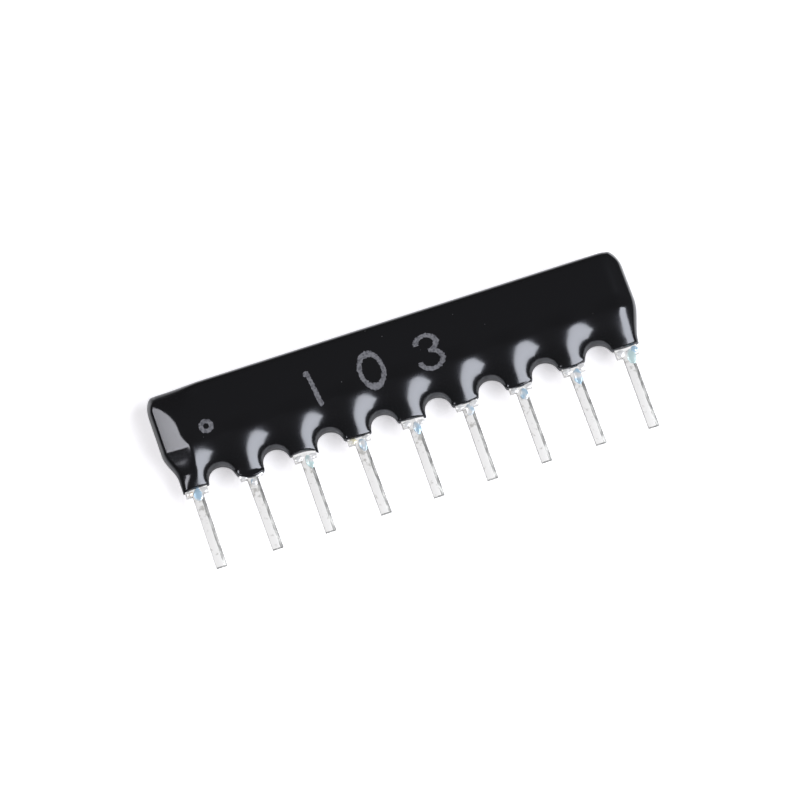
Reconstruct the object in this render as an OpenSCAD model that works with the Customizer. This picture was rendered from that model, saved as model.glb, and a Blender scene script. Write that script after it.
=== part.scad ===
// Resistor network: clip terminals in line on a printed ceramic plate, dipped in black epoxy.
// It lies on its back: X runs along the pin row, the pins point to -Y and the front looks to +Z.
// The origin is the middle of the pin row, on the seating plane and in the mid-plane of the leads.
// The row is a bussed circuit: pin 1 feeds a common bus, and one resistor joins it to each other pin.

/* [Pin row] */
// Number of pins in the row
pin_count = 9; // [4:1:14]
// Distance from pin to pin
pin_pitch = 2.54; // [2.3:0.02:3]
// Width of a pin across the row
pin_w = 0.5; // [0.4:0.02:0.6]
// Length of a pin below the seating plane
pin_l = 3.5; // [2.5:0.1:6]
// Corner cut at a pin's tip
tip_cut = 0.06; // [0.02:0.01:0.12]

/* [Clip terminals] */
// Thickness of the terminal strip
strip_t = 0.25; // [0.2:0.01:0.3]
// Width of the shoulder that stands on the board
shoulder_w = 1.04; // [0.94:0.02:1.2]
// Height of the plain shoulder, from the seating plane to the root of the fingers
shoulder_h = 0.55; // [0.4:0.05:0.65]
// Width of the finger on the front of the plate
finger_w = 0.42; // [0.34:0.02:0.5]
// Slot between the front finger and each back finger
finger_slot = 0.06; // [0.04:0.01:0.1]
// Straight length before and after the bends that spread the fingers
bend_room = 0.12; // [0.1:0.01:0.15]
// Length of the fingers on the plate
grip_l = 0.7; // [0.5:0.05:0.9]

/* [Ceramic plate] */
// Height of the plate
plate_h = 2.9; // [2.6:0.05:3.6]
// Thickness of the plate
plate_t = 0.635; // [0.5:0.005:0.8]
// Height of the plate's lower edge over the seating plane
plate_lift = 1.75; // [1.4:0.05:2]

/* [Printed films] */
// Thickness of one printed film
film_t = 0.02; // [0.015:0.005:0.04]
// Width of a solder pad
pad_w = 1.1; // [1.1:0.02:1.4]
// Height of the common bus
bus_h = 0.4; // [0.3:0.05:0.6]
// Bare border of the plate beside and above the films
print_margin = 0.1; // [0.05:0.05:0.3]
// Width of a resistor
resistor_w = 1.1; // [0.8:0.05:1.2]
// Overlap of a resistor on each conductor that it joins
film_lap = 0.15; // [0.1:0.05:0.2]
// Width of the trimming cut in a resistor
kerf_w = 0.06; // [0.04:0.01:0.1]
// Length of the trimming cut from the resistor's side
kerf_l = 0.5; // [0.2:0.05:0.7]
// Reach of the overglaze past the resistors
glaze_margin = 0.1; // [0.05:0.05:0.15]
// Bare pad between the solder and the overglaze
glaze_gap = 0.05; // [0.03:0.01:0.1]

/* [Solder] */
// Width of a solder joint on its pad
solder_w = 1; // [0.8:0.05:1.1]
// Reach of the solder past the finger's tip
solder_reach = 0.1; // [0.05:0.05:0.2]
// Solder over the finger's outer face
solder_cover = 0.05; // [0.03:0.01:0.1]

/* [Epoxy coating] */
// Epoxy on the front and back of the plate
coat_face = 0.63; // [0.5:0.01:0.9]
// Epoxy on the plate's upper edge
coat_top = 0.4; // [0.25:0.05:0.8]
// Epoxy on each end of the plate
coat_end = 0.38; // [0.25:0.01:0.6]
// Rounding of the upper edge
top_r = 0.45; // [0.3:0.05:0.8]
// Bare shoulder between the seating plane and the epoxy
coat_lift = 0.28; // [0.1:0.01:0.3]
// Thickness of the epoxy at the foot of a tooth
neck_t = 1.2; // [1:0.05:1.7]
// Bevel at the foot of a tooth
neck_bevel = 0.2; // [0.1:0.05:0.3]
// Height over the plate's lower edge where the faces start to close towards the neck
taper_rise = 0.25; // [0.1:0.05:0.6]
// Epoxy beside the shoulder at the foot of a tooth
tooth_wall = 0.08; // [0.05:0.01:0.12]
// Epoxy between the plate's lower edge and the arch of a scallop
arch_cover = 0.82; // [0.5:0.01:0.9]
// Straight part of a scallop's wall, each side of the leads' mid-plane
arch_wall = 0.2; // [0.1:0.05:0.4]
// Clearance of a scallop's flare past the bumps
flare_clear = 0.06; // [0.02:0.01:0.2]
// Radius of the bump over a clip
bump_r = 0.75; // [0.65:0.05:0.9]
// Rise of the bump over the front
bump_h = 0.16; // [0.1:0.01:0.3]
// Reach of the bump past the finger's tip
bump_reach = 0.15; // [0.05:0.05:0.4]

/* [Hidden] */
$fn = 64;

// Pin row, with the pins numbered from 1 at the -X end
row_half = (pin_count - 1) * pin_pitch / 2;
function pin_x(i) = (i - 1) * pin_pitch - row_half;

// Plate and the faces of the films on it, from the plate outwards
plate_half = row_half + pad_w / 2 + print_margin;
plate_top = plate_lift + plate_h;
face_z = plate_t / 2;
conductor_z = face_z + film_t;
resistor_z = conductor_z + film_t;
glaze_z = resistor_z + film_t;

// Heights of the clip, the solder and the prints, from the seating plane up
finger_root = shoulder_h - strip_t;
first_bend = shoulder_h + bend_room;
last_bend = plate_lift - bend_room;
finger_tip = plate_lift + grip_l;
solder_top = finger_tip + solder_reach;
glaze_bottom = solder_top + glaze_gap;
resistor_bottom = glaze_bottom + glaze_margin;
pad_top = resistor_bottom + film_lap;
bus_top = plate_top - print_margin;
bus_bottom = bus_top - bus_h;
resistor_top = bus_bottom + film_lap;
glaze_top = resistor_top + glaze_margin;
kerf_y = (pad_top + bus_bottom) / 2;

// Epoxy form
coat_z = face_z + coat_face;
coat_half = plate_half + coat_end;
coat_y = plate_top + coat_top;
cap_x = coat_half - coat_z;
taper_y = plate_lift + taper_rise;
taper_angle = atan2(coat_z - neck_t / 2, taper_y - coat_lift);
tooth_w = shoulder_w + 2 * tooth_wall;
arch_r = (pin_pitch - tooth_w) / 2;
arch_y = plate_lift - arch_cover - arch_r;
flare_r = coat_z + bump_h + flare_clear - arch_wall;
bump_y = finger_tip + bump_reach - bump_r;
bump_z = coat_z + bump_h - bump_r;

// Box between two corners
module block(low, high) {
    translate(low) cube(high - low);
}

// Extrudes a (y, z) outline along X
module along_x(x0, x1) {
    translate([x0, 0, 0]) rotate([90, 0, 90]) linear_extrude(x1 - x0) children();
}

// Extrudes an (x, z) outline along Y
module along_y(y0, y1) {
    translate([0, y1, 0]) rotate([90, 0, 0]) linear_extrude(y1 - y0) children();
}

// Stands an (r, y) outline up as half a turn about Y, on the +X side
module half_turn() {
    rotate([-90, 0, 0]) rotate([0, 0, -90]) rotate_extrude(angle = 180) children();
}

// Pin and shoulder as punched from the strip
module strip_blank() {
    right = [
        [pin_w / 2 - tip_cut, -pin_l],
        [pin_w / 2, tip_cut - pin_l],
        [pin_w / 2, 0],
        [shoulder_w / 2, 0],
        [shoulder_w / 2, shoulder_h]
    ];
    left = [for (k = [len(right) - 1:-1:0]) [-right[k].x, right[k].y]];
    translate([0, 0, -strip_t / 2]) linear_extrude(strip_t) polygon(concat(right, left));
}

// Side outline (y, z) of a finger that the two bends carry from the mid-plane out to mid_z
function finger_outline(mid_z) =
    let (
        side = sign(mid_z) * strip_t / 2,
        mitre = strip_t / 2 * tan(atan2(abs(mid_z), last_bend - first_bend) / 2)
    )
    [
        [finger_root, -side],
        [first_bend + mitre, -side],
        [last_bend + mitre, mid_z - side],
        [finger_tip, mid_z - side],
        [finger_tip, mid_z + side],
        [last_bend - mitre, mid_z + side],
        [first_bend - mitre, side],
        [finger_root, side]
    ];

// Clip terminal: one finger on the printed face, two on the back of the plate
module terminal(i) {
    color("silver") translate([pin_x(i), 0, 0]) union() {
        strip_blank();
        along_x(-finger_w / 2, finger_w / 2) polygon(finger_outline(conductor_z + strip_t / 2));
        for (s = [0, 1])
            mirror([s, 0, 0])
                along_x(finger_w / 2 + finger_slot, shoulder_w / 2)
                    polygon(finger_outline(-face_z - strip_t / 2));
    }
}

// Alumina plate
module substrate() {
    color("ivory") block([-plate_half, plate_lift, -face_z], [plate_half, plate_top, face_z]);
}

// Solder pad of one pin, up to the height y1
module pad_print(i, y1) {
    block([pin_x(i) - pad_w / 2, plate_lift, face_z], [pin_x(i) + pad_w / 2, y1, conductor_z]);
}

// Pad of a pin that ends in a resistor
module pad(i) {
    color("lightgrey") pad_print(i, pad_top);
}

// Pad of pin 1 and the bus that it feeds
module common_bus() {
    color("lightgrey") union() {
        pad_print(1, bus_top);
        block(
            [pin_x(1) - pad_w / 2, bus_bottom, face_z],
            [pin_x(pin_count) + pad_w / 2, bus_top, conductor_z]
        );
    }
}

// Resistor from the bus to the pad of pin i + 1, with its trimming cut
module resistor(i) {
    x = pin_x(i + 1);
    color("dimgray") difference() {
        block(
            [x - resistor_w / 2, resistor_bottom, face_z],
            [x + resistor_w / 2, resistor_top, resistor_z]
        );
        pad(i + 1);
        common_bus();
        block(
            [x - resistor_w / 2 - kerf_l, kerf_y - kerf_w / 2, face_z - film_t],
            [x - resistor_w / 2 + kerf_l, kerf_y + kerf_w / 2, glaze_z]
        );
    }
}

// Glass print that seals the resistors and their trimming cuts
module overglaze() {
    reach = resistor_w / 2 + glaze_margin;
    color("darkolivegreen") difference() {
        block(
            [pin_x(2) - reach, glaze_bottom, face_z],
            [pin_x(pin_count) + reach, glaze_top, glaze_z]
        );
        common_bus();
        for (i = [1:pin_count - 1]) {
            pad(i + 1);
            resistor(i);
        }
    }
}

// Solder that bonds a front finger to its pad
module solder_joint(i) {
    color("gainsboro") difference() {
        translate([pin_x(i), 0, 0]) along_y(plate_lift, solder_top) polygon([
            [-solder_w / 2, conductor_z],
            [solder_w / 2, conductor_z],
            [finger_w / 2, conductor_z + strip_t + solder_cover],
            [-finger_w / 2, conductor_z + strip_t + solder_cover]
        ]);
        terminal(i);
    }
}

// Half of the coating's section (z, y): round at the upper edge, closing to the neck below
module coat_half_section() {
    polygon([
        [0, coat_lift],
        [neck_t / 2 - neck_bevel, coat_lift],
        [neck_t / 2 + neck_bevel * tan(taper_angle), coat_lift + neck_bevel],
        [coat_z, taper_y],
        [coat_z, coat_y - top_r],
        [0, coat_y - top_r]
    ]);
    translate([0, coat_y - top_r]) square([coat_z - top_r, top_r]);
    intersection() {
        translate([coat_z - top_r, coat_y - top_r]) circle(top_r);
        translate([coat_z - top_r, coat_y - top_r]) square(top_r);
    }
}

// Dipped slab with round ends
module coat_slab() {
    along_x(-cap_x, cap_x)
        for (s = [0, 1])
            mirror([0, s]) rotate(90) mirror([0, 1]) coat_half_section();
    for (s = [0, 1])
        mirror([s, 0, 0]) translate([cap_x, 0, 0]) half_turn() coat_half_section();
}

// Bump that a clip raises on the front, down to the foot of its tooth
module coat_bump(i) {
    run = bump_y - coat_lift + bump_r;
    intersection() {
        translate([pin_x(i), bump_y, bump_z])
            rotate([taper_angle - 90, 0, 0])
                rotate_extrude() union() {
                    translate([0, -run]) square([bump_r, run]);
                    intersection() {
                        circle(bump_r);
                        square(bump_r);
                    }
                }
        block(
            [pin_x(i) - pin_pitch / 2, coat_lift, 0],
            [pin_x(i) + pin_pitch / 2, coat_y, coat_z + bump_h + flare_clear]
        );
    }
}

// Scallop between pin i and the next, flared towards both faces
module coat_scallop(i) {
    reach = arch_wall + flare_r;
    translate([pin_x(i) + pin_pitch / 2, arch_y, 0]) rotate_extrude() difference() {
        translate([0, -reach]) square([arch_r + flare_r, 2 * reach]);
        translate([arch_r, -arch_wall]) square([2 * flare_r, 2 * arch_wall]);
        for (s = [-1, 1])
            translate([arch_r + flare_r, s * arch_wall]) circle(flare_r);
    }
}

// Epoxy that seals the plate and the clips
module coating() {
    color("#1a1a1c") difference() {
        union() {
            coat_slab();
            for (i = [1:pin_count]) coat_bump(i);
        }
        for (i = [1:pin_count - 1]) coat_scallop(i);
        substrate();
        overglaze();
        common_bus();
        for (i = [1:pin_count - 1]) {
            pad(i + 1);
            resistor(i);
        }
        for (i = [1:pin_count]) {
            terminal(i);
            solder_joint(i);
        }
    }
}

coating();
substrate();
overglaze();
common_bus();
for (i = [2:pin_count]) pad(i);
for (i = [1:pin_count - 1]) resistor(i);
for (i = [1:pin_count]) terminal(i);
for (i = [1:pin_count]) solder_joint(i);
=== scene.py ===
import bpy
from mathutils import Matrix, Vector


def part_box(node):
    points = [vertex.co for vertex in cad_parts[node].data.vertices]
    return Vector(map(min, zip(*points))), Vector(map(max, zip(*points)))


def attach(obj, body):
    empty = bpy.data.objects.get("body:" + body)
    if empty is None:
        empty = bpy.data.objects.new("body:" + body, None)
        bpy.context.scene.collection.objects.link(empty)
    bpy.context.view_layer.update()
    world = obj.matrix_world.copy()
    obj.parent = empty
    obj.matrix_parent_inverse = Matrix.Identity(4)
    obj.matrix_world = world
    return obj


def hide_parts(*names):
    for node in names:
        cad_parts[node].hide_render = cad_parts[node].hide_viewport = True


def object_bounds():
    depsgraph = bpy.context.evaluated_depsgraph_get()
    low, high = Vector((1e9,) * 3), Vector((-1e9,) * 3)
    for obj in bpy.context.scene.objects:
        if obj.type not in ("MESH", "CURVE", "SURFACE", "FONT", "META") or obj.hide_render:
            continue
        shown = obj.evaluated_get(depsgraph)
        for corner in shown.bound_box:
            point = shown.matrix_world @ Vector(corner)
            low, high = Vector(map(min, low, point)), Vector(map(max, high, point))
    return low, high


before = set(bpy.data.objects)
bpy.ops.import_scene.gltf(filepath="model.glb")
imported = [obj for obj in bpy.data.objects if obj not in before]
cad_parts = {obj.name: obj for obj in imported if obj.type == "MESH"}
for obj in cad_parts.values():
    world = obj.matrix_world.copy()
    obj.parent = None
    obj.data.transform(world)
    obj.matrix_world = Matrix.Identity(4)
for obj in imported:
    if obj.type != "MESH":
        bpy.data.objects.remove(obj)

"""Looks of a nine-pin dipped resistor network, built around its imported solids."""

import logging
import math
from dataclasses import dataclass, field
from enum import Enum

import bmesh
import bpy
import numpy as np
from mathutils import Vector, noise

CAD_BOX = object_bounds()
MM = 0.001
PINS = 9
Pair = tuple[float, float]
Colour = tuple[float, float, float]
LOG = logging.getLogger("resistor_network")


@dataclass(frozen=True)
class Field:
    """A number that varies over a surface, as one socket of a material's graph."""

    graph: "Graph"
    socket: bpy.types.NodeSocket

    def __add__(self, other: "Field | float") -> "Field":
        """This value plus another."""
        return self.graph.math("ADD", self, other)

    def __radd__(self, other: float) -> "Field":
        """Another value plus this one."""
        return self.graph.math("ADD", other, self)

    def __sub__(self, other: "Field | float") -> "Field":
        """This value minus another."""
        return self.graph.math("SUBTRACT", self, other)

    def __rsub__(self, other: float) -> "Field":
        """Another value minus this one."""
        return self.graph.math("SUBTRACT", other, self)

    def __mul__(self, other: "Field | float") -> "Field":
        """This value times another."""
        return self.graph.math("MULTIPLY", self, other)

    def __rmul__(self, other: float) -> "Field":
        """Another value times this one."""
        return self.graph.math("MULTIPLY", other, self)

    def __truediv__(self, other: "Field | float") -> "Field":
        """This value over another."""
        return self.graph.math("DIVIDE", self, other)

    def __rtruediv__(self, other: float) -> "Field":
        """Another value over this one."""
        return self.graph.math("DIVIDE", other, self)

    def __abs__(self) -> "Field":
        """This value without its sign."""
        return self.graph.math("ABSOLUTE", self)

    def root(self) -> "Field":
        """Square root."""
        return self.graph.math("SQRT", self)

    def least(self, other: "Field | float") -> "Field":
        """The smaller of two values."""
        return self.graph.math("MINIMUM", self, other)

    def most(self, other: "Field | float") -> "Field":
        """The larger of two values."""
        return self.graph.math("MAXIMUM", self, other)

    def step(self, low: float, high: float) -> "Field":
        """Smooth rise from 0 to 1.

        Args:
            low: Value at which it starts.
            high: Value at which it ends.

        Returns:
            The risen value.
        """
        made = self.graph.node(
            "ShaderNodeMapRange",
            {"interpolation_type": "SMOOTHSTEP"},
            {"Value": self, "From Min": low, "From Max": high},
        )
        return Field(self.graph, made.outputs[0])


class Graph:
    """Node tree of one material."""

    def __init__(self, name: str) -> None:
        """Starts an empty material.

        Args:
            name: Name of the material.
        """
        self.material = bpy.data.materials.new(name)
        self.material.use_nodes = True
        self.tree = self.material.node_tree
        self.tree.nodes.clear()

    def node(self, kind: str, settings: dict | None = None, inputs: dict | None = None) -> bpy.types.Node:
        """Adds one node.

        Args:
            kind: Blender's name of the node type.
            settings: Properties to set on the node.
            inputs: Values or fields for its input sockets, by name or number.

        Returns:
            The new node.
        """
        made = self.tree.nodes.new(kind)
        for key, value in (settings or {}).items():
            setattr(made, key, value)
        for key, value in (inputs or {}).items():
            if isinstance(value, Field):
                self.tree.links.new(value.socket, made.inputs[key])
            else:
                made.inputs[key].default_value = value
        return made

    def math(self, operation: str, *values: Field | float) -> Field:
        """Result of one arithmetic operation."""
        made = self.node("ShaderNodeMath", {"operation": operation}, dict(enumerate(values)))
        return Field(self, made.outputs[0])

    def point(self) -> Field:
        """Place on the piece, in millimetres of the part's frame."""
        place = self.node("ShaderNodeTexCoord").outputs["Object"]
        return self.stretched(Field(self, place), (1 / MM,) * 3)

    def axes(self, point: Field) -> tuple[Field, Field, Field]:
        """The three coordinates of a place."""
        made = self.node("ShaderNodeSeparateXYZ", inputs={0: point})
        return tuple(Field(self, socket) for socket in made.outputs)

    def stretched(self, point: Field, scale: Colour) -> Field:
        """A place with each coordinate multiplied."""
        made = self.node("ShaderNodeVectorMath", {"operation": "MULTIPLY"}, {0: point, 1: scale})
        return Field(self, made.outputs[0])

    def cloud(self, point: Field, scale: float, detail: float = 2.0) -> Field:
        """Soft noise around 0.5, with scale features in a millimetre."""
        made = self.node("ShaderNodeTexNoise", inputs={"Vector": point, "Scale": scale, "Detail": detail})
        return Field(self, made.outputs[0])

    def cells(self, point: Field, scale: float) -> Field:
        """Distance to the nearest of scattered dots, with scale dots in a millimetre."""
        made = self.node("ShaderNodeTexVoronoi", inputs={"Vector": point, "Scale": scale})
        return Field(self, made.outputs["Distance"])

    def mix(self, share: Field | float, first: "Colour | Field", second: "Colour | Field") -> Field:
        """Colour between two colours.

        Args:
            share: 0 for the first colour, 1 for the second.
            first: Colour or colour field.
            second: Colour or colour field.

        Returns:
            The mixed colour.
        """
        pair = [c if isinstance(c, Field) else (*c, 1.0) for c in (first, second)]
        made = self.node("ShaderNodeMix", {"data_type": "RGBA"}, {0: share, 6: pair[0], 7: pair[1]})
        return Field(self, made.outputs[2])

    def relief(self, height: Field, depth: float) -> Field:
        """Normal of a fine relief, depth millimetres from its lowest to its highest point."""
        made = self.node("ShaderNodeBump", inputs={"Strength": 1.0, "Distance": depth * MM, "Height": height})
        return Field(self, made.outputs[0])

    def surface(self, inputs: dict) -> bpy.types.Material:
        """Closes the graph with a principled surface.

        Args:
            inputs: Values and fields by input name.

        Returns:
            The finished material.
        """
        shader = self.node("ShaderNodeBsdfPrincipled", inputs=inputs)
        self.node("ShaderNodeOutputMaterial", inputs={0: Field(self, shader.outputs[0])})
        return self.material


@dataclass(frozen=True)
class Finish:
    """One surface finish."""

    name: str

    def inputs(self, graph: Graph, point: Field) -> dict:
        """Inputs of the principled surface.

        Args:
            graph: The material's graph.
            point: Place on the piece, in millimetres.

        Returns:
            Values and fields by input name.
        """
        raise NotImplementedError

    def material(self) -> bpy.types.Material:
        """The finish as a Blender material."""
        graph = Graph(self.name)
        return graph.surface(self.inputs(graph, graph.point()))


@dataclass(frozen=True)
class Epoxy(Finish):
    """Gloss black dipped epoxy with the printed mark."""

    mark: "Mark"
    base: Colour = (0.0095, 0.0095, 0.0105)
    dust: Colour = (0.10, 0.10, 0.10)
    dust_share: float = 0.8
    # painted light: this bluish tint colours the lamps' reflections in the gloss, standing in for a bluish
    # lamp
    tint: Colour = (0.8, 0.85, 1.0)
    roughness: float = 0.2
    ink_roughness: float = 0.4
    dust_roughness: float = 0.3
    ink_dulls: float = 0.85

    def inputs(self, graph: Graph, point: Field) -> dict:
        """Black base, faint dust, the mark's ink and a slightly wavy gloss.

        Args:
            graph: The material's graph.
            point: Place on the piece, in millimetres.

        Returns:
            Values and fields by input name.
        """
        ink = self.mark.cover(graph, point)
        grain = graph.cloud(point, scale=11.0, detail=1.0).step(low=0.3, high=0.62)
        specks = graph.cells(point, scale=1.7).step(low=0.055, high=0.03)
        specks = specks * graph.cloud(point, scale=0.9).step(low=0.5, high=0.62)
        dusty = graph.mix(specks * self.dust_share, self.base, self.dust)
        wave = graph.cloud(point, scale=0.8, detail=1.0)
        return {
            "Base Color": graph.mix(ink, dusty, graph.mix(grain, self.mark.dark, self.mark.light)),
            "Roughness": self.roughness + ink * self.ink_roughness + specks * self.dust_roughness,
            "IOR": 1.5,
            "Coat Weight": 1.0 - ink * self.ink_dulls,
            "Coat Roughness": 0.14,
            # painted highlight colour: the bluish specular tint stands in for a bluish lamp
            "Specular Tint": (*self.tint, 1.0),
            "Coat IOR": 1.52,
            "Normal": graph.relief(wave, depth=0.012),
        }


@dataclass(frozen=True)
class Tin(Finish):
    """Matte tin plate with a faint yellow cast, stained towards the coating."""

    clean: Colour = (0.955, 0.945, 0.925)
    stained: Colour = (0.58, 0.57, 0.54)
    near: float = 0.14
    roughness: float = 0.42
    uneven: float = 0.14

    def inputs(self, graph: Graph, point: Field) -> dict:
        """Clean tin with small stains, more of them near the shoulder.

        Args:
            graph: The material's graph.
            point: Place on the piece, in millimetres.

        Returns:
            Values and fields by input name.
        """
        y = graph.axes(point)[1]
        near = y.step(low=-1.6, high=-0.5) * y.step(low=0.1, high=-0.1) * self.near
        stain = (graph.cloud(point, scale=5.0, detail=3.0) + near).step(low=0.58, high=0.80)
        return {
            "Base Color": graph.mix(stain, self.clean, self.stained),
            "Metallic": 0.06,
            "Roughness": self.roughness + self.uneven * graph.cloud(point, scale=9.0),
            "Normal": graph.relief(graph.cloud(point, scale=7.0), depth=0.008),
        }


@dataclass(frozen=True)
class Sheared(Finish):
    """Bare strip where the punch sheared it."""

    light: Colour = (0.68, 0.68, 0.66)
    dark: Colour = (0.3, 0.3, 0.29)
    streaks: Colour = (9.0, 2.5, 9.0)

    def inputs(self, graph: Graph, point: Field) -> dict:
        """Grey streaks along the pin.

        Args:
            graph: The material's graph.
            point: Place on the piece, in millimetres.

        Returns:
            Values and fields by input name.
        """
        streaks = graph.cloud(graph.stretched(point, self.streaks), scale=1.0, detail=3.0)
        return {
            "Base Color": graph.mix(streaks.step(low=0.38, high=0.62), self.dark, self.light),
            "Metallic": 0.6,
            "Roughness": 0.5,
            "Normal": graph.relief(streaks, depth=0.015),
        }


@dataclass(frozen=True)
class Solder(Finish):
    """Bright solder with soft coloured spots: oxide in places, and a painted blue reflection where the tint
    is a glint.
    """

    tarnish_and_painted_glint: Colour
    bright: Colour = (0.94, 0.945, 0.95)

    def inputs(self, graph: Graph, point: Field) -> dict:
        """Silver white with soft spots of the given tint; for the glint tints these spots are a painted blue
        reflection.

        Args:
            graph: The material's graph.
            point: Place on the piece, in millimetres.

        Returns:
            Values and fields by input name.
        """
        # painted reflection: for the glint tints these spots paint a blue light's reflection into the
        # solder's colour
        patches = graph.cloud(point, scale=2.2, detail=1.0).step(low=0.38, high=0.6)
        return {
            "Base Color": graph.mix(patches, self.bright, self.tarnish_and_painted_glint),
            "Metallic": 0.3,
            "Roughness": 0.3,
            "Normal": graph.relief(graph.cloud(point, scale=5.0), depth=0.01),
        }


@dataclass(frozen=True)
class Fired(Finish):
    """Fired ceramic, print or glass of the inside."""

    light: Colour
    dark: Colour
    roughness: float
    metallic: float = 0.0
    grain: float = 6.0
    uneven: float = 0.1

    def inputs(self, graph: Graph, point: Field) -> dict:
        """Two close tones in fine grain.

        Args:
            graph: The material's graph.
            point: Place on the piece, in millimetres.

        Returns:
            Values and fields by input name.
        """
        speck = graph.cloud(point, self.grain, detail=3.0)
        return {
            "Base Color": graph.mix(speck.step(low=0.35, high=0.65), self.dark, self.light),
            "Metallic": self.metallic,
            "Roughness": self.roughness + self.uneven * speck,
        }


@dataclass(frozen=True)
class Mark:
    """Printed value and the ring beside pin 1, in pen strokes on the front."""

    first_pin: float
    front: float
    low: float = 2.0
    high: float = 3.6
    pen: float = 0.2
    light: Colour = (0.20, 0.20, 0.215)
    dark: Colour = (0.09, 0.09, 0.10)
    ring: Pair = (1.29, 2.67)
    ring_radius: float = 0.23
    digits: tuple[float, float, float] = (6.4, 9.1, 11.8)
    wide: float = 0.52
    bow_wide: float = 0.46
    bow_share: float = 0.47
    slant: Pair = (-0.1, 0.08)
    flag: Pair = (0.1, 0.06)
    rough: float = 0.13
    edge: Pair = (-0.015, 0.02)
    depth: Pair = (0.5, 0.4)
    ending: float = 0.05

    def stroke(self, x: Field, y: Field, start: Pair, end: Pair) -> Field:
        """Distance to a straight stroke.

        Args:
            x: Place along the row.
            y: Height over the seating plane.
            start: One end of the stroke.
            end: Its other end.

        Returns:
            The distance in millimetres.
        """
        run, rise = end[0] - start[0], end[1] - start[1]
        over, up = x - start[0], y - start[1]
        along = ((over * run + up * rise) / (run * run + rise * rise)).most(0.0).least(1.0)
        side, lift = over - along * run, up - along * rise
        return (side * side + lift * lift).root()

    def loop(self, x: Field, y: Field, centre: Pair, radii: Pair) -> Field:
        """Distance to a round or oval stroke.

        Args:
            x: Place along the row.
            y: Height over the seating plane.
            centre: Middle of the loop.
            radii: Half its width and half its height.

        Returns:
            The distance in millimetres.
        """
        over, up = (x - centre[0]) / radii[0], (y - centre[1]) / radii[1]
        return abs((over * over + up * up).root() - 1.0) * min(radii)

    def bow(self, x: Field, y: Field, centre: Pair, radii: Pair, side: float) -> Field:
        """Distance to a loop that is open on the left, above its middle for side 1 and below it for -1."""
        gap = (centre[0] - x).step(0.0, self.ending) * ((y - centre[1]) * side).step(0.0, self.ending)
        return self.loop(x, y, centre, radii) + gap

    def cover(self, graph: Graph, point: Field) -> Field:
        """Ink on the surface.

        Args:
            graph: The material's graph.
            point: Place on the piece, in millimetres.

        Returns:
            1 in the ink and 0 beside it.
        """
        x, y, z = graph.axes(point)
        along = x - self.first_pin
        one, nought, three = self.digits
        middle, reach = (self.low + self.high) / 2, (self.high - self.low) / 2
        upper, lower = reach * self.bow_share, reach * (1.0 - self.bow_share)
        head = (one + self.slant[0], self.high)
        near = self.loop(along, y, self.ring, (self.ring_radius,) * 2)
        for other in (
            self.stroke(along, y, head, (one + self.slant[1], self.low)),
            self.stroke(along, y, (head[0] - self.flag[0], head[1] - self.flag[1]), head),
            self.loop(along, y, (nought, middle), (self.wide, reach)),
            self.bow(along, y, (three, self.high - upper), (self.bow_wide, upper), -1.0),
            self.bow(along, y, (three, self.low + lower), (self.wide, lower), 1.0),
        ):
            near = near.least(other)
        rough_edge = (graph.cloud(point, scale=8.0) - 0.5) * self.rough
        on_front = z.step(*(self.front - depth for depth in self.depth))
        return (self.pen / 2 - near + rough_edge).step(*self.edge) * on_front


class Slot(Enum):
    """Material slots of the new pieces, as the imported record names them."""

    EPOXY = "epoxy_coat"
    TIN = "tinned_strip"
    SOLDER = "solder"


@dataclass
class Piece:
    """A new piece that rides on the part's one body."""

    name: str
    slot: Slot
    replaces: tuple[str, ...] = ()

    def place(self, shape: bmesh.types.BMesh, *materials: bpy.types.Material) -> bpy.types.Object:
        """Turns a shape in millimetres into an object of the part.

        Args:
            shape: The finished shape, which is freed.
            materials: Materials in the order of the shape's material numbers.

        Returns:
            The new object.
        """
        bmesh.ops.scale(shape, vec=(MM,) * 3, verts=shape.verts)
        bmesh.ops.recalc_face_normals(shape, faces=shape.faces)
        mesh = bpy.data.meshes.new(self.name)
        shape.to_mesh(mesh)
        shape.free()
        mesh.shade_smooth()
        made = bpy.data.objects.new(self.name, mesh)
        bpy.context.scene.collection.objects.link(made)
        for material in materials:
            mesh.materials.append(material)
        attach(made, "root")
        if self.replaces:
            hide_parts(*self.replaces)
        LOG.info("%s: %d faces", self.name, len(mesh.polygons))
        return made


def box_mm(node: str) -> tuple[Vector, Vector]:
    """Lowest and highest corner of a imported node, in millimetres."""
    low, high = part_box(node)
    return low / MM, high / MM


def rise(values: np.ndarray, start: float, end: float) -> np.ndarray:
    """Smooth rise from 0 at start to 1 at end."""
    share = np.clip((values - start) / (end - start), 0.0, 1.0)
    return share * share * (3.0 - 2.0 * share)


@dataclass(frozen=True)
class Edge:
    """How the shell ends towards one part of its outline: a tight round, and a broad fall before it.

    Attributes:
        tight: Reach of the round from the outline.
        broad: Reach of the fall.
        fall: Share of the depth that the fall takes.
        bend: How suddenly the fall starts.
        rim: Share of the depth that a thin rim takes.
        rim_reach: Reach of that rim.
    """

    tight: float
    broad: float
    fall: float
    bend: float = 1.0
    rim: float = 0.0
    rim_reach: float = 0.16

    def round(self, gap: np.ndarray, top: float, high: np.ndarray) -> np.ndarray:
        """What the tight round takes away.

        Args:
            gap: Distance from this part of the outline.
            top: Reach of the round at the upper edge.
            high: Share of that reach, 1 beside the upper edge.

        Returns:
            1 on the outline and 0 inside the round.
        """
        return 1.0 - np.clip(gap / (self.tight + (top - self.tight) * high), 0.0, 1.0)

    def ease(self, gap: np.ndarray) -> np.ndarray:
        """Share of the depth that the broad fall and the thin rim leave."""
        broad = 1.0 - self.fall * np.exp(-((gap / self.broad) ** self.bend))
        return broad * (1.0 - self.rim * np.exp(-((gap / self.rim_reach) ** 2)))


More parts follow.
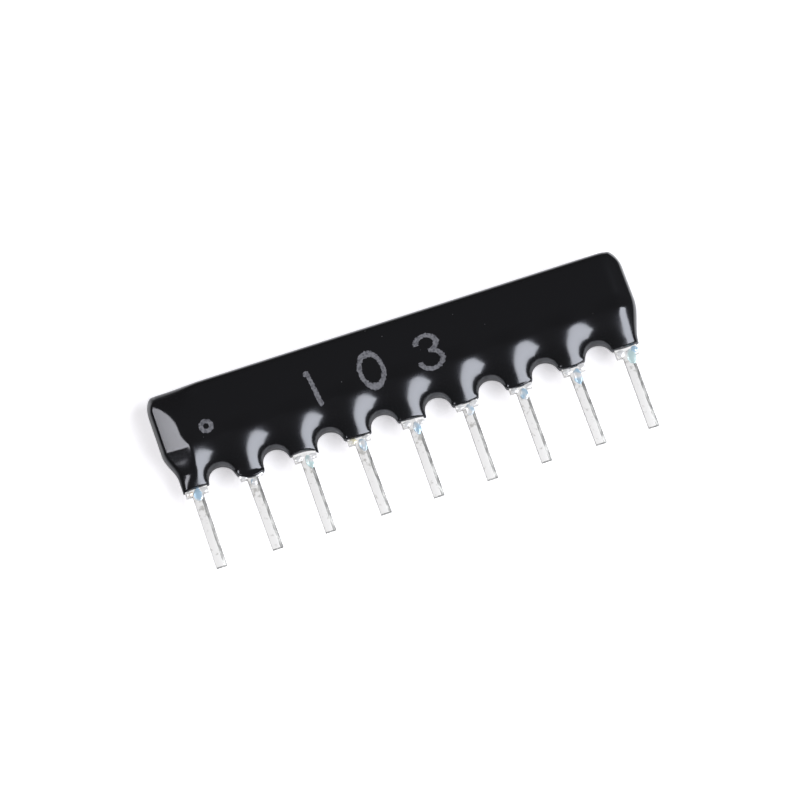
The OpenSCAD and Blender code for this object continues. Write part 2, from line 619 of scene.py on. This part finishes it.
@dataclass(frozen=True)
class Chamfer:
    """Slope beside the first pin: flat and broad against the front, below a low corner and above a round toe.

    Attributes:
        width: Width of the slope at its foot.
        slope: Fall of the slope for each millimetre along the row.
        foot: Height of its foot.
        narrow: Width that it loses for each millimetre below the foot.
        bow: How fast the front sinks towards the upper corner, which narrows the slope there.
        bow_power: How suddenly it does.
        sink: The most that the front sinks, as width of the slope.
        corner: Distances from the end between which the front sinks.
        soft: Softness of the edge between the slope and the front.
        toe: Reach of the round toe at the height toe_low.
        toe_lean: What that reach gains with height.
        toe_low: Height at the lower end of the toe.
        toe_top: Height at its upper end.
        toe_blend: Heights, from toe_top, between which the toe becomes the slope.
        curve: Curvature of the toe.
    """

    width: float = 1.05
    slope: float = 0.42
    foot: float = 1.95
    narrow: float = 0.1
    bow: float = 0.0122
    bow_power: float = 4.5
    sink: float = 1.6
    corner: Pair = (2.7, 0.9)
    soft: float = 0.015
    toe: float = 0.55
    toe_lean: float = 0.67
    toe_low: float = 0.3
    toe_top: float = 0.95
    toe_blend: Pair = (-0.25, 0.7)
    curve: float = 0.8

    def cut(self, depth: np.ndarray, flat: np.ndarray, places: tuple[np.ndarray, ...]) -> np.ndarray:
        """Depth that is left of a face.

        Args:
            depth: Depth of the face.
            flat: Its depth without the bumps.
            places: Distance from the end along the row, shortest distance from the outline, and height.

        Returns:
            The new depth at each place.
        """
        along, gap, heights = places
        up, down = (np.clip(side * (heights - self.foot), 0.0, None) for side in (1.0, -1.0))
        low = self.sink * np.tanh(self.bow * up**self.bow_power / self.sink) * rise(along, *self.corner)
        side = flat + self.slope * (along - self.width + self.narrow * down)
        broad = -self.soft * np.logaddexp(-side / self.soft, (self.slope * low - depth) / self.soft)
        reach = self.toe + self.toe_lean * (np.minimum(heights, self.toe_top) - self.toe_low)
        toe = depth - self.curve / 2 * np.clip(reach - gap, 0.0, None) ** 2
        share = rise(heights, *(self.toe_top + step for step in self.toe_blend))
        return broad * share + toe * (1.0 - share)


@dataclass(frozen=True)
class End:
    """Outline of one end of the shell, measured from the last pin."""

    reach: float
    foot: float
    corner: Pair
    taper: Pair

    def line(self, heights: np.ndarray, top: float) -> np.ndarray:
        """Distance of the outline from the last pin.

        Args:
            heights: Heights over the seating plane.
            top: Height of the upper edge.

        Returns:
            The distance at each height.
        """
        inset = (self.reach - self.foot) * rise(heights, *self.taper)
        into = np.clip((heights - (top - self.corner[1])) / self.corner[1], 0.0, 1.0)
        return self.reach - inset - self.corner[0] * (1.0 - np.sqrt(1.0 - into**2))


@dataclass
class CoatingSkin:
    """Dipped shell: a slab with round ends, a bump over each clip and a scallop between two pins.

    The faces swell into a bump over each clip and then close to a thin neck at the foot. Each entry of feet
    is how far the foot of one tooth stands over the coating's lowest level, at its left side, middle and
    right side.
    """

    pins: list[float]
    low: Vector
    high: Vector
    shoulder: float
    rows: int = 96
    tooth_columns: int = 22
    arch_columns: int = 20
    end_columns: int = 44
    column_share: float = 0.23
    smoothing: int = 4
    hold: float = 1.5
    arch_top: float = 0.98
    wall: float = 0.13
    ends: tuple[End, End] = (
        End(0.97, 0.6, (0.45, 0.95), (2.25, 0.9)),
        End(1.17, 0.66, (0.55, 0.95), (2.5, 0.35)),
    )
    swell_from: float = 2.79
    swell_to: float = 1.79
    bump: float = 0.132
    bump_bend: float = 0.93
    bump_lean: float = 0.03
    bump_level: float = 1.0
    bump_asides: tuple[float, ...] = (-0.06, 0.08, 0.11, 0.04, 0.04, 0.02, 0.02, 0.04, 0.04)
    bump_sizes: tuple[float, ...] = (1.0, 0.97, 0.88, 1.0, 0.95, 1.0, 1.0, 1.0, 0.9)
    close_from: float = 2.06
    close_bend: float = 1.22
    close_lean: float = 0.2
    close_reach: float = 0.9
    close_straight: Pair = (1.35, 0.95)
    neck: float = 0.289
    edges: dict[str, Edge] = field(
        default_factory=lambda: {
            "top": Edge(0.5, 0.6, 0.1),
            **dict.fromkeys(("left", "right"), Edge(0.22, 0.3, 0.05)),
            "feet": Edge(0.084, 0.3, 0.1, 1.5),
            **dict.fromkeys(("odd", "even"), Edge(0.12, 0.361, 0.326, 1.44, 0.272, 0.134)),
        }
    )
    corner_blend: Pair = (1.7, 0.2)
    corner_power: int = 12
    chamfer: Chamfer = Chamfer()
    round_reach: float = 1.05
    round_curve: float = 0.95
    least: float = 0.16
    soft: float = 0.04
    foot_bend: float = 1.4
    feet: tuple[tuple[float, float, float], ...] = (
        (-0.07, 0.00, 0.01),
        (0.14, -0.33, -0.12),
        (0.06, 0.10, -0.17),
        (0.05, -0.06, 0.00),
        (0.06, 0.00, -0.13),
        (0.00, -0.09, 0.06),
        (0.05, -0.14, 0.04),
        (0.15, -0.04, 0.17),
        (0.18, 0.10, 0.19),
    )

    @property
    def pitch(self) -> float:
        """Distance from pin to pin."""
        return self.pins[1] - self.pins[0]

    @property
    def face(self) -> float:
        """Depth of the flat faces from the leads' mid-plane."""
        return -self.low.z

    def bottom(self) -> tuple[np.ndarray, np.ndarray, np.ndarray]:
        """Lower edge of the outline, from the left end to the right.

        Returns:
            Its points, the column's place on the upper edge, and a code: 0 at a foot, 1 or 2 in an arch.
        """
        half_tooth = self.shoulder / 2 + self.wall
        radius = self.pitch / 2 - half_tooth
        centre_y = self.arch_top - radius
        points, tops, codes = [], [], []
        for i, pin in enumerate(self.pins):
            left, middle, right = self.feet[i]
            outer = (self.ends[0] if i == 0 else None, self.ends[1] if i == len(self.pins) - 1 else None)
            for side, end, lift in ((-1, outer[0], left), (1, outer[1], right)):
                count = self.end_columns if end else self.tooth_columns // 2
                reach = end.foot if end else half_tooth
                top_reach = end.reach - end.corner[0] if end else self.pitch * self.column_share
                for k in range(count + 1) if side < 0 else range(1, count + 1):
                    share = 1.0 - k / count if side < 0 else k / count
                    bent = math.sin(share * math.pi / 2)
                    y = self.low.y + middle + (lift - middle) * share**self.foot_bend
                    points.append((pin + side * reach * bent, y))
                    tops.append(pin + side * top_reach * ((share + bent) / 2 if end else share))
                    codes.append(0)
            if outer[1] is None:
                start = math.pi + math.asin((centre_y - points[-1][1]) / radius)
                next_y = self.low.y + self.feet[i + 1][0]
                turn = -math.asin((centre_y - next_y) / radius) - start
                for k in range(1, self.arch_columns):
                    share = k / self.arch_columns
                    angle = start + turn * share
                    x = pin + self.pitch / 2 + radius * math.cos(angle)
                    points.append((x, centre_y + radius * math.sin(angle)))
                    tops.append(pin + self.pitch * (self.column_share + (1 - 2 * self.column_share) * share))
                    codes.append(1 + i % 2)
        made = np.array(points)
        for _ in range(self.smoothing):
            made[1:-1] = (made[:-2] + 2 * made[1:-1] + made[2:]) / 4
        return made, np.array(tops), np.array(codes)

    def drape(self) -> tuple[np.ndarray, dict[str, np.ndarray]]:
        """Lays a grid over the front view of the shell.

        Returns:
            The grid's (x, y) by column and row, and the polylines of its edges.
        """
        low_edge, tops, codes = self.bottom()
        share = (1.0 - np.cos(np.linspace(0.0, math.pi, self.rows + 1))) / 2
        high_edge = np.stack([tops, np.full(len(tops), self.high.y)], 1)
        grid = low_edge[:, None] * (1 - share)[:, None] + high_edge[:, None] * share[:, None]
        for column, side, end in ((0, -1.0, self.ends[0]), (-1, 1.0, self.ends[1])):
            line = self.pins[column] + side * end.line(grid[column, :, 1], self.high.y)
            hold = np.clip(1.0 - np.abs(tops - tops[column]) / (self.hold * self.pitch), 0.0, 1.0) ** 2
            grid[:, :, 0] += hold[:, None] * (line - grid[column, :, 0])[None, :]
        outline = {"top": grid[:, -1], "left": grid[0], "right": grid[-1]}
        for name, code in (("feet", 0), ("odd", 1), ("even", 2)):
            outline[name] = np.where((codes == code)[:, None], grid[:, 0], np.nan)
        return grid, outline

    @staticmethod
    def gap(points: np.ndarray, line: np.ndarray) -> np.ndarray:
        """Distance of each point from a polyline, which breaks at points that are not numbers.

        Args:
            points: The places.
            line: Points of the polyline, in order.

        Returns:
            The distance of each place.
        """
        start, end = line[:-1], line[1:]
        kept = ~(np.isnan(start).any(1) | np.isnan(end).any(1))
        nearest = np.full(points.shape[:-1], np.inf)
        for a, b in zip(start[kept], end[kept]):
            run = b - a
            along = np.clip(((points - a) @ run) / max(run @ run, 1e-12), 0.0, 1.0)
            nearest = np.minimum(nearest, np.linalg.norm(points - a - along[..., None] * run, axis=-1))
        return nearest

    def fullness(self, gaps: dict[str, np.ndarray], heights: np.ndarray) -> np.ndarray:
        """Share of the full depth at each grid point.

        Args:
            gaps: Distance from each part of the outline.
            heights: Height over the seating plane.

        Returns:
            0 on the outline and 1 inside the rounded edges.
        """
        top = self.edges["top"].tight
        high = rise(heights, *(self.high.y - share * top for share in self.corner_blend))
        taken = {name: edge.round(gaps[name], top, high) for name, edge in self.edges.items()}
        corners = sum(taken[name] ** self.corner_power for name in ("top", "left", "right"))
        corners **= 3 / self.corner_power
        tight = corners + sum(taken[name] ** 3 for name in ("feet", "odd", "even"))
        broad = math.prod(edge.ease(gaps[name]) for name, edge in self.edges.items())
        return broad * np.sqrt(np.clip(1.0 - np.minimum(tight, 1.0) ** (2 / 3), 0.0, 1.0))

    def depths(self, grid: np.ndarray) -> tuple[np.ndarray, np.ndarray]:
        """Depth of the faces before their edges are rounded.

        Args:
            grid: Places on the front view.

        Returns:
            Depth of the front, and of the back.
        """
        x, y = grid[..., 0], grid[..., 1]
        aside, size = (np.interp(x, self.pins, values) for values in (self.bump_asides, self.bump_sizes))
        over = x - self.pins[0] - aside - self.bump_lean * (y - self.bump_level)
        ridge = ((1.0 + np.cos(2 * math.pi * over / self.pitch)) / 2) ** self.bump_bend
        swell = size * ridge * rise(y, self.swell_from, self.swell_to)
        along = x - self.pins[0] + self.ends[0].reach
        start = self.close_from + self.close_lean * np.clip(self.close_reach - along, 0.0, None)
        bend = self.close_bend + (1.0 - self.close_bend) * rise(along, *self.close_straight)
        closing = np.clip((start - y) / (start - self.low.y), 0.0, 1.0) ** bend
        front = (self.face + self.bump * swell) * (1 - closing) + self.neck * closing
        back = self.face * (1 - closing) + self.neck * closing
        return front, back

    def form(self, grid: np.ndarray, gaps: dict[str, np.ndarray]) -> tuple[np.ndarray, np.ndarray]:
        """Finished faces of the shell.

        Args:
            grid: Places on the front view.
            gaps: Their distance from each part of the outline.

        Returns:
            Height of the front, and of the back.
        """
        along = grid[..., 0] - self.pins[0] + self.ends[0].reach
        before_end = self.pins[-1] + self.ends[1].reach - grid[..., 0]
        rounded = self.round_curve / 2 * np.clip(self.round_reach - before_end, 0.0, None) ** 2
        front, back = self.depths(grid)
        places, full = (along, gaps["left"], grid[..., 1]), self.fullness(gaps, grid[..., 1])
        cut = [self.chamfer.cut(depth, back, places) - rounded for depth in (front, back)]
        front, back = (
            self.soft * np.logaddexp(depth / self.soft, self.least / self.soft) * full for depth in cut
        )
        return front, -back

    def build(self, material: bpy.types.Material) -> bpy.types.Object:
        """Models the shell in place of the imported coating.

        Args:
            material: Its finish.

        Returns:
            The new object.
        """
        grid, outline = self.drape()
        gaps = {name: self.gap(grid, line) for name, line in outline.items()}
        shape = bmesh.new()
        for depth in self.form(grid, gaps):
            sheet = bmesh.ops.create_grid(
                shape, x_segments=grid.shape[0] - 1, y_segments=grid.shape[1] - 1, size=0.5
            )
            for vert in sheet["verts"]:
                column = round((vert.co.x + 0.5) * (grid.shape[0] - 1))
                row = round((vert.co.y + 0.5) * (grid.shape[1] - 1))
                vert.co = (*grid[column, row], depth[column, row])
        bmesh.ops.remove_doubles(shape, verts=shape.verts, dist=1e-5)
        return Piece("coating_skin", Slot.EPOXY, ("coating",)).place(shape, material)


@dataclass
class Terminal:
    """Tinned terminal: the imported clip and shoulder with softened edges, and a punched pin below them."""

    number: int
    lean: float
    cut: float = 0.0
    root: float = 0.3
    proud: float = 0.006
    slope_run: float = 0.15
    slope_drop: float = 0.07
    soft: float = 0.022
    pin_from: float = -0.5
    flat_angle: float = 1.0
    sharp_angle: float = 0.5
    sheared_side: float = 0.25
    sheared_tip: float = -0.6

    @property
    def node(self) -> str:
        """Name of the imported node."""
        return f"terminal_{self.number}"

    def extent(self, axis: int) -> float:
        """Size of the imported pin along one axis, in millimetres."""
        places = [v.co[axis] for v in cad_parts[self.node].data.vertices if v.co.y < self.pin_from * MM]
        return (max(places) - min(places)) / MM

    def thickness(self) -> float:
        """Thickness of the strip, in millimetres."""
        return self.extent(2)

    def clip(self) -> bmesh.types.BMesh:
        """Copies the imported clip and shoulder.

        Returns:
            Their shape in millimetres, without the pin.
        """
        shape = bmesh.new()
        shape.from_mesh(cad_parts[self.node].data)
        bmesh.ops.scale(shape, vec=(1 / MM,) * 3, verts=shape.verts)
        bmesh.ops.remove_doubles(shape, verts=shape.verts, dist=1e-4)
        bmesh.ops.dissolve_limit(
            shape, angle_limit=math.radians(self.flat_angle), verts=shape.verts, edges=shape.edges
        )
        bmesh.ops.bisect_plane(
            shape,
            geom=[*shape.verts, *shape.edges, *shape.faces],
            plane_co=(0.0, -self.cut, 0.0),
            plane_no=(0.0, -1.0, 0.0),
            clear_outer=True,
        )
        bmesh.ops.holes_fill(shape, edges=[e for e in shape.edges if e.is_boundary])
        sharp = [e for e in shape.edges if e.is_manifold and e.calc_face_angle() > self.sharp_angle]
        bmesh.ops.bevel(
            shape,
            geom=sharp,
            offset=self.soft,
            offset_type="OFFSET",
            segments=3,
            profile=0.5,
            affect="EDGES",
            material=-1,
            clamp_overlap=True,
        )
        return shape

    def pin(self, shape: bmesh.types.BMesh, centre: float, width: float, thick: float, length: float) -> None:
        """Adds the pin, sheared along its right edge, to a shape.

        Args:
            shape: The shape to add to.
            centre: Place of the pin along the row.
            width: Width of the strip.
            thick: Thickness of the strip.
            length: Length of the pin below the seating plane.
        """
        half, face = width / 2, thick / 2 + self.proud
        section = (
            (-half, -face),
            (half, -face),
            (half, face - self.slope_drop),
            (half - self.slope_run, face),
            (-half, face),
        )
        corners = [shape.verts.new((centre + x, self.root, z)) for x, z in section]
        start = shape.faces.new(corners)
        made = bmesh.ops.extrude_face_region(shape, geom=[start])
        tip = [v for v in made["geom"] if isinstance(v, bmesh.types.BMVert)]
        bmesh.ops.translate(shape, vec=(0.0, -length - self.root, 0.0), verts=tip)
        faces = {f for v in (*corners, *tip) for f in v.link_faces}
        edges = list({e for f in faces for e in f.edges})
        bmesh.ops.recalc_face_normals(shape, faces=list(faces))
        softened = bmesh.ops.bevel(
            shape,
            geom=edges,
            offset=self.soft,
            offset_type="OFFSET",
            segments=2,
            profile=0.5,
            affect="EDGES",
            material=-1,
        )
        turned = math.tan(math.radians(self.lean))
        for vert in {v for f in softened["faces"] for v in f.verts}:
            if vert.co.y < 0.0:
                vert.co.x += -vert.co.y * turned

    def build(self, tin: bpy.types.Material, sheared: bpy.types.Material) -> bpy.types.Object:
        """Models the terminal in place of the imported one.

        Args:
            tin: Finish of the plated faces.
            sheared: Finish of the punched edge and of the tip.

        Returns:
            The new object.
        """
        low, high = box_mm(self.node)
        centre = (low.x + high.x) / 2
        shape = self.clip()
        self.pin(shape, centre, self.extent(0), self.thickness(), -low.y)
        shape.normal_update()
        for face in shape.faces:
            n, place = face.normal, face.calc_center_median()
            if place.y < 0.0 and (n.x > self.sheared_side or n.y < self.sheared_tip):
                face.material_index = 1
        return Piece(self.node + "_lead", Slot.TIN, (self.node,)).place(shape, tin, sheared)


class TarnishAndPaintedGlint(Enum):
    """Tints of the solder that ran over the shoulders: copper and straw are oxide colours, the blue and teal
    glints are painted reflections of a blue light.
    """

    NONE = (0.90, 0.90, 0.90)
    # painted reflection: the blue and teal colours stand in for a blue light reflected in the solder's curves
    BLUE = (0.50, 0.70, 0.86)
    TEAL = (0.66, 0.84, 0.84)
    COPPER = (0.84, 0.62, 0.42)
    STRAW = (0.90, 0.84, 0.60)


@dataclass(frozen=True)
class Drop:
    """A drop of solder: its place from the pin on the seating plane, its half width and half height."""

    x: float
    y: float
    wide: float
    tall: float
    tint: TarnishAndPaintedGlint = TarnishAndPaintedGlint.NONE


@dataclass
class SolderRun:
    """Solder that ran down over a shoulder and the top of its pin."""

    number: int
    centre: float
    face: float
    drops: tuple[Drop, ...]
    bulge: float = 0.06
    lump: float = 0.25
    lumps: float = 1.4
    seeds: Pair = (3.1, 1.7)

    def build(self, finishes: dict[TarnishAndPaintedGlint, bpy.types.Material]) -> bpy.types.Object:
        """Models the run as flattened drops.

        Args:
            finishes: Material of each tint.

        Returns:
            The new object.
        """
        shape = bmesh.new()
        for k, drop in enumerate(self.drops):
            made = bmesh.ops.create_icosphere(shape, subdivisions=4, radius=1.0)["verts"]
            seed = Vector((self.number * self.seeds[0], k * self.seeds[1], self.number + k))
            for vert in made:
                vert.co *= 1.0 + self.lump * noise.noise(vert.co * self.lumps + seed)
            bmesh.ops.scale(shape, vec=(drop.wide, drop.tall, self.bulge), verts=made)
            bmesh.ops.translate(shape, vec=(self.centre + drop.x, drop.y, self.face), verts=made)
            for face in {f for v in made for f in v.link_faces}:
                face.material_index = k
        run = Piece(f"solder_run_{self.number}", Slot.SOLDER)
        return run.place(shape, *(finishes[drop.tint] for drop in self.drops))


@dataclass
class Inside:
    """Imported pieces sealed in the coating, which keep their shape."""

    finishes: dict[str, Finish] = field(
        default_factory=lambda: {
            "substrate": Fired("alumina", (0.86, 0.84, 0.78), (0.80, 0.78, 0.72), 0.6),
            "overglaze": Fired("overglaze", (0.20, 0.34, 0.24), (0.15, 0.28, 0.19), 0.2),
            "common_bus": Fired("silver_print", (0.74, 0.73, 0.70), (0.62, 0.61, 0.58), 0.4, 0.8, 12.0),
            "pad": Fired("silver_pads", (0.74, 0.73, 0.70), (0.62, 0.61, 0.58), 0.4, 0.8, 12.0),
            "resistor": Fired("resistor_ink", (0.06, 0.06, 0.065), (0.035, 0.035, 0.04), 0.5, 0.0, 14.0),
            "solder_joint": Fired("joint_solder", (0.78, 0.80, 0.82), (0.66, 0.68, 0.70), 0.25, 0.9, 5.0),
        }
    )

    def dress(self) -> None:
        """Gives each sealed piece its finish."""
        made = {name: finish.material() for name, finish in self.finishes.items()}
        for name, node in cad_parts.items():
            kind = next((k for k in made if name == k or name.startswith(k + "_")), None)
            if kind is not None:
                node.data.materials.clear()
                node.data.materials.append(made[kind])
                LOG.info("%s: dressed as %s", name, kind)


@dataclass(frozen=True)
class Softbox:
    """Flat light, placed by its direction in the picture: right, away from the viewer and up."""

    name: str
    towards: Colour
    distance: float
    size: Pair
    radiance: float
    tint: Colour

    def build(self, turn: float) -> None:
        """Hangs the light so that it faces the part.

        Args:
            turn: Camera's turn round the part, in radians.
        """
        right, away, up = Vector(self.towards).normalized()
        c, s = math.cos(turn), math.sin(turn)
        aim = Vector((right * c + away * s, -right * s + away * c, up))
        lamp = bpy.data.lights.new(self.name, "AREA")
        lamp.shape = "RECTANGLE"
        lamp.size, lamp.size_y = self.size
        lamp.color = self.tint
        lamp.energy = self.radiance * math.pi * self.size[0] * self.size[1]
        made = bpy.data.objects.new(self.name, lamp)
        made.location = aim * self.distance
        made.rotation_mode = "QUATERNION"
        made.rotation_quaternion = aim.to_track_quat("Z", "Y")
        bpy.context.scene.collection.objects.link(made)


@dataclass
class Studio:
    """White table, two softboxes and the camera of the picture.

    The table glows a little to the eye, so that faint shadows clear. In reflections it darkens away from the
    part, past the half lengths clear_half about the height clear_y.
    """

    floor: float
    azimuth: float = 18.8
    elevation: float = 71.0
    distance: float = 220.0
    lens: float = 221.1
    aim: Pair = (-0.208, 1.36)
    sensor: float = 36.0
    table_half: float = 2.0
    white: Colour = (0.9, 0.9, 0.905)
    dim: Colour = (0.05, 0.05, 0.05)
    glow: Colour = (0.98, 0.965, 1.0)
    lift: float = 0.55
    clear_half: Pair = (11.0, 4.3)
    clear_y: float = 0.8
    fade: Pair = (0.0, 6.0)
    sky_levels: Pair = (0.03, 1.0)
    softboxes: tuple[Softbox, ...] = (
        Softbox("right_softbox", (0.663, -0.15, 0.733), 0.4, (0.425, 0.213), 6.4, (0.95, 0.965, 1.0)),
        Softbox("left_softbox", (-0.62, -0.06, 0.78), 0.4, (0.224, 0.152), 5.0, (1.0, 0.985, 1.0)),
    )

    def table(self) -> None:
        """Lays the white table under the part."""
        shape = bmesh.new()
        bmesh.ops.create_grid(shape, x_segments=1, y_segments=1, size=self.table_half)
        bmesh.ops.translate(shape, vec=(0.0, 0.0, self.floor), verts=shape.verts)
        mesh = bpy.data.meshes.new("table")
        shape.to_mesh(mesh)
        shape.free()
        graph = Graph("table_white")
        path = graph.node("ShaderNodeLightPath")
        eye, glossy, through = (
            Field(graph, path.outputs[f"Is {ray} Ray"]) for ray in ("Camera", "Glossy", "Transmission")
        )
        x, y, _ = graph.axes(graph.point())
        past = (abs(x) - self.clear_half[0]).most(abs(y - self.clear_y) - self.clear_half[1])
        far = past.step(*self.fade) * glossy
        level = eye.most(through) * self.lift
        mesh.materials.append(
            graph.surface(
                {
                    "Base Color": graph.mix(far, self.white, self.dim),
                    "Roughness": 0.9,
                    "Specular IOR Level": 0.0,
                    "Emission Color": graph.mix(level, (0.0, 0.0, 0.0), self.glow),
                    "Emission Strength": 1.0,
                }
            )
        )
        made = bpy.data.objects.new("table", mesh)
        bpy.context.scene.collection.objects.link(made)

    def sky(self) -> None:
        """White to the eye, and dim as a light."""
        world = bpy.data.worlds.new("studio")
        bpy.context.scene.world = world
        world.use_nodes = True
        tree = world.node_tree
        tree.nodes.clear()
        path = tree.nodes.new("ShaderNodeLightPath")
        ends = []
        for level in self.sky_levels:
            shade = tree.nodes.new("ShaderNodeBackground")
            shade.inputs[0].default_value = (level, level, level, 1.0)
            ends.append(shade)
        mixed = tree.nodes.new("ShaderNodeMixShader")
        out = tree.nodes.new("ShaderNodeOutputWorld")
        tree.links.new(path.outputs["Is Camera Ray"], mixed.inputs[0])
        tree.links.new(ends[0].outputs[0], mixed.inputs[1])
        tree.links.new(ends[1].outputs[0], mixed.inputs[2])
        tree.links.new(mixed.outputs[0], out.inputs[0])

    def camera(self) -> None:
        """Sets the camera where the picture was taken from."""
        turn, tilt = math.radians(self.azimuth), math.radians(self.elevation)
        back = Vector(
            (-math.cos(tilt) * math.sin(turn), -math.cos(tilt) * math.cos(turn), math.sin(tilt))
        )
        data = bpy.data.cameras.new("camera")
        data.sensor_width = self.sensor
        data.lens = self.lens
        data.clip_start = 0.01
        made = bpy.data.objects.new("camera", data)
        made.location = (Vector((*self.aim, 0.0)) + back * self.distance) * MM
        made.rotation_mode = "QUATERNION"
        made.rotation_quaternion = back.to_track_quat("Z", "Y")
        bpy.context.scene.collection.objects.link(made)
        bpy.context.scene.camera = made

    def build(self) -> None:
        """Sets up the table, the lights, the background and the camera."""
        self.table()
        for softbox in self.softboxes:
            softbox.build(math.radians(self.azimuth))
        self.sky()
        self.camera()
        bpy.context.scene.view_settings.view_transform = "Standard"


@dataclass
class Network:
    """The whole part."""

    leans: tuple[float, ...] = (-0.4, 1.0, -0.2, 0.8, -0.2, -0.5, -0.3, 0.3, -0.6)
    runs: tuple[tuple[Drop, ...], ...] = (
        (
            Drop(-0.36, 0.13, 0.17, 0.12, TarnishAndPaintedGlint.COPPER),
            Drop(0.02, 0.0, 0.2, 0.28, TarnishAndPaintedGlint.BLUE),
            Drop(0.3, 0.14, 0.2, 0.13),
        ),
        (
            Drop(-0.34, 0.17, 0.2, 0.18),
            Drop(0.02, -0.24, 0.15, 0.16, TarnishAndPaintedGlint.BLUE),
            Drop(0.3, 0.06, 0.2, 0.12),
        ),
        (
            Drop(-0.3, 0.14, 0.22, 0.14),
            Drop(0.12, -0.1, 0.16, 0.32, TarnishAndPaintedGlint.TEAL),
            Drop(0.34, 0.1, 0.17, 0.12),
        ),
        (
            Drop(-0.32, 0.14, 0.2, 0.13, TarnishAndPaintedGlint.STRAW),
            Drop(0.08, -0.14, 0.18, 0.3, TarnishAndPaintedGlint.BLUE),
            Drop(0.32, 0.12, 0.18, 0.13),
        ),
        (
            Drop(-0.3, 0.14, 0.2, 0.13),
            Drop(0.08, -0.18, 0.18, 0.3, TarnishAndPaintedGlint.BLUE),
            Drop(0.34, 0.05, 0.17, 0.11),
        ),
        (
            Drop(-0.34, 0.12, 0.18, 0.13),
            Drop(0.05, -0.12, 0.19, 0.28, TarnishAndPaintedGlint.BLUE),
            Drop(0.3, 0.14, 0.19, 0.14),
        ),
        (
            Drop(-0.3, 0.08, 0.18, 0.12),
            Drop(0.05, -0.22, 0.2, 0.28, TarnishAndPaintedGlint.BLUE),
            Drop(0.33, 0.14, 0.18, 0.14),
        ),
        (
            Drop(-0.3, 0.18, 0.2, 0.15),
            Drop(0.07, -0.2, 0.19, 0.36, TarnishAndPaintedGlint.BLUE),
            Drop(0.34, 0.2, 0.18, 0.16),
        ),
        (
            Drop(-0.28, 0.2, 0.2, 0.16),
            Drop(0.12, -0.05, 0.21, 0.36, TarnishAndPaintedGlint.TEAL),
            Drop(0.36, 0.22, 0.16, 0.16, TarnishAndPaintedGlint.BLUE),
        ),
    )

    def build(self) -> None:
        """Models and dresses every piece."""
        boxes = [box_mm(f"terminal_{i}") for i in range(1, PINS + 1)]
        pins = [(low.x + high.x) / 2 for low, high in boxes]
        shoulder = boxes[0][1].x - boxes[0][0].x
        low, high = box_mm("coating")
        tin, sheared = Tin("tin_plate").material(), Sheared("sheared_strip").material()
        solder = {tint: Solder(f"solder_{tint.name.lower()}", tint.value).material() for tint in TarnishAndPaintedGlint}
        skin = CoatingSkin(pins, low, high, shoulder)
        skin.build(Epoxy("black_epoxy", Mark(pins[0], skin.face)).material())
        for i, lean in enumerate(self.leans, 1):
            lead = Terminal(i, lean)
            lead.build(tin, sheared)
            SolderRun(i, pins[i - 1], lead.thickness() / 2, self.runs[i - 1]).build(solder)
        Inside().dress()


def main() -> None:
    """Builds the part and its studio."""
    logging.basicConfig(level=logging.INFO, format="%(message)s")
    Network().build()
    Studio(CAD_BOX[0].z).build()


if __name__ == "__main__":
    main()
